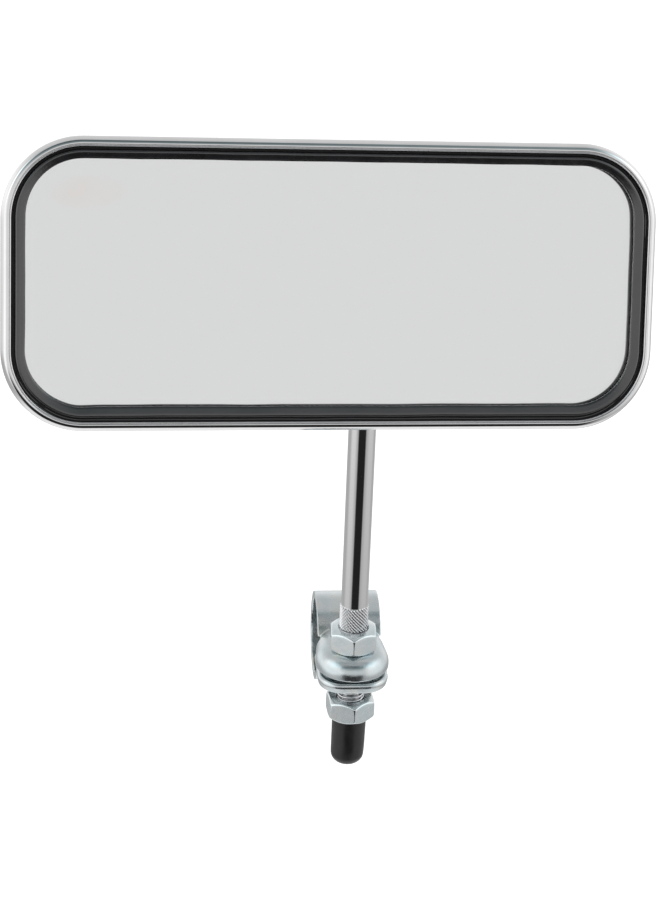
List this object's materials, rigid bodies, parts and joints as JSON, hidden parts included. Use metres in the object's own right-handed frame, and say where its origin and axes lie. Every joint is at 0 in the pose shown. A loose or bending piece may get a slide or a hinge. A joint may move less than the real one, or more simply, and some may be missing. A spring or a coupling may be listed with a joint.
{
  "type": "bicycle mirror",
  "caption": "Rectangular chromed bicycle mirror on a ball joint, with a bent rod held in a strap clamp for a handlebar.",
  "frame": {"origin": "centre of the clamp's bore, on the handlebar's axis", "axes": "+X along the handlebar to the mirror's own right as seen from its front, +Z along the threaded rod towards the mirror head, -Y towards the rider who looks into the mirror"},
  "size_m": [0.1639, 0.0991, 0.2071],
  "materials": {
    "zinc_steel": "bright zinc plate, bluish",
    "chrome_steel": "polished chrome plate",
    "plain_steel": "plain pressed steel, lightly oiled",
    "black_vinyl": "dipped vinyl, satin",
    "black_rubber": "moulded rubber, satin",
    "nylon": "natural nylon",
    "silvered_glass": "flat glass silvered on its back",
    "grey_board": "grey board"
  },
  "bodies": {
    "clamp": {"clamp_strap": "zinc_steel"},
    "stem": {"stem_rod": "chrome_steel", "ball_stud": "chrome_steel", "upper_nut": "zinc_steel", "thread_cap": "black_vinyl"},
    "clamp_nut": {"lower_nut": "zinc_steel"},
    "seat": {"ball_seat": "nylon"},
    "head": {"housing_shell": "chrome_steel", "pressure_cup": "plain_steel", "disc_springs": "plain_steel", "spring_bridge": "plain_steel", "bridge_rivets": "zinc_steel", "rubber_gasket": "black_rubber", "mirror_glass": "silvered_glass", "backing_pad": "grey_board"}
  },
  "joints": [
    {"name": "stem_swivel", "type": "hinge", "parent": "clamp", "child": "stem", "pos_m": [0, -0.0205, 0], "axis": [0, 0, 1], "continuous": true},
    {"name": "nut_run", "type": "slide", "parent": "stem", "child": "clamp_nut", "axis": [0, 0, 1], "range_m": [0, 0.0072]},
    {"name": "ball_tilt", "type": "hinge", "parent": "stem", "child": "seat", "pos_m": [-0.01568, -0.05061, 0.1339], "axis": [0.8997, -0.4207, 0.1161], "range_deg": [-18, 9]},
    {"name": "ball_turn", "type": "hinge", "parent": "seat", "child": "head", "pos_m": [-0.01568, -0.05061, 0.1339], "axis": [0.0136, 0.2929, 0.956], "range_deg": [-60, 3]}
  ]
}
